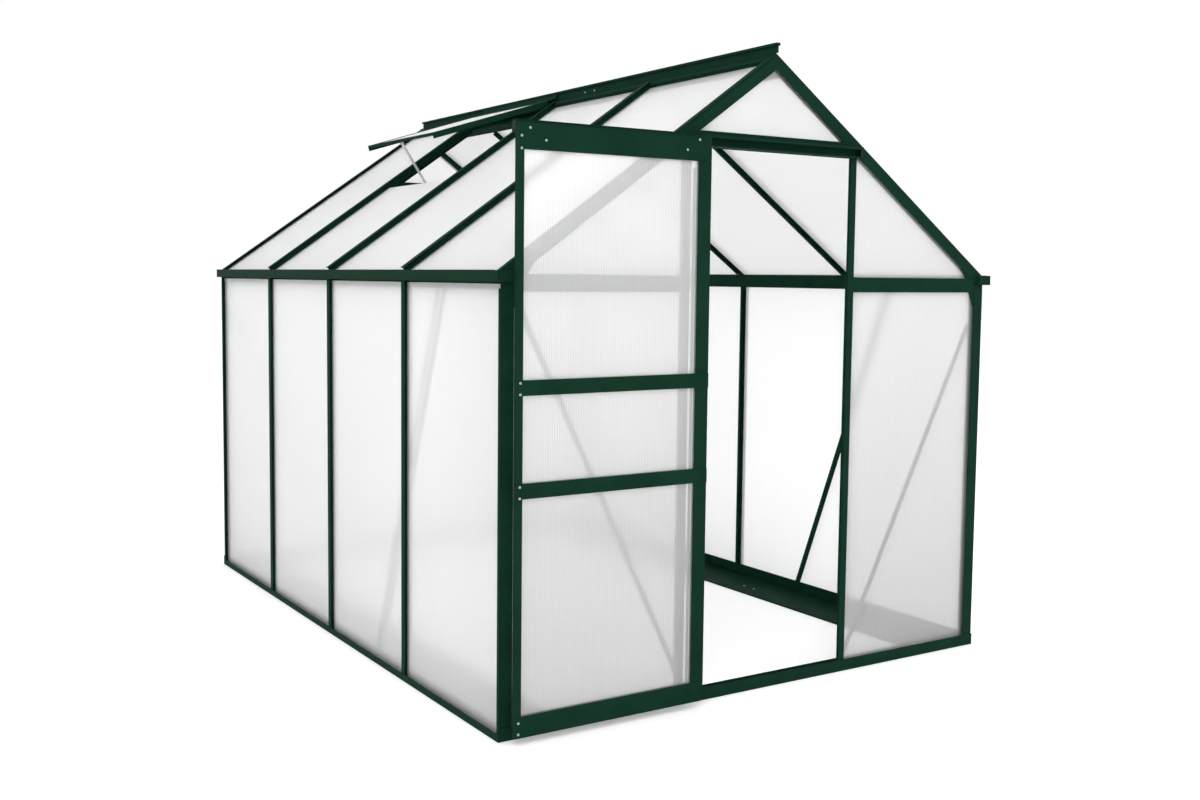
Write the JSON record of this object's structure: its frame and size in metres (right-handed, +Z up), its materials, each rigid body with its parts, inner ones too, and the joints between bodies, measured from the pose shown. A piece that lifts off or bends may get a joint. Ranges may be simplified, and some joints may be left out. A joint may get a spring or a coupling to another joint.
{
  "type": "polycarbonate greenhouse",
  "caption": "Gable-roofed greenhouse with a green aluminium frame, clear-white hollow plastic sheets, a sliding door in the gable end and an opening roof vent.",
  "frame": {"origin": "on the ground, at the centre of the bounding box's base", "axes": "+Z up; the front gable with the door faces -Y; +X to the right of someone facing the door; the roof ridge runs along Y"},
  "size_m": [1.94, 2.5786, 1.9932],
  "materials": {
    "frame_paint": "satin powder coat",
    "glazing": "translucent twin-wall sheet",
    "bare_metal": "mill finish",
    "nylon": "matt black"
  },
  "bodies": {
    "frame": {"front_sill": "frame_paint", "rear_sill": "frame_paint", "left_sill": "frame_paint", "right_sill": "frame_paint", "front_left_post": "frame_paint", "front_right_post": "frame_paint", "rear_left_post": "frame_paint", "rear_right_post": "frame_paint", "left_wall_bars": "frame_paint", "right_wall_bars": "frame_paint", "left_gutter": "frame_paint", "right_gutter": "frame_paint", "front_left_rafter": "frame_paint", "front_right_rafter": "frame_paint", "rear_left_rafter": "frame_paint", "rear_right_rafter": "frame_paint", "left_roof_bars": "frame_paint", "right_roof_bars": "frame_paint", "ridge": "frame_paint", "left_door_post": "frame_paint", "right_door_post": "frame_paint", "rear_gable_posts": "frame_paint", "front_left_eave_rail": "frame_paint", "front_right_eave_rail": "frame_paint", "rear_eave_rails": "frame_paint", "front_crossbar": "frame_paint", "rear_crossbar": "frame_paint", "door_track": "frame_paint", "front_gussets": "frame_paint", "rear_gussets": "frame_paint", "front_braces": "frame_paint", "rear_braces": "frame_paint", "left_wall_brace": "frame_paint", "right_wall_brace": "frame_paint", "left_wall_sheets": "glazing", "right_wall_sheets": "glazing", "left_roof_sheets": "glazing", "right_roof_sheets": "glazing", "front_left_sheets": "glazing", "front_right_sheets": "glazing", "front_apex_sheet": "glazing", "rear_sheets": "glazing", "vent_frame": "frame_paint", "vent_sheet": "glazing", "vent_stay": "bare_metal", "track_stops": "nylon"},
    "door": {"door_left_stile": "frame_paint", "door_right_stile": "frame_paint", "door_header": "frame_paint", "door_middle_rails": "frame_paint", "door_bottom_rail": "frame_paint", "door_sheets": "glazing", "door_rollers": "nylon"}
  },
  "joints": [
    {"name": "door_slide", "type": "slide", "parent": "frame", "child": "door", "axis": [1, 0, 0], "range_m": [0, 0.61]}
  ]
}
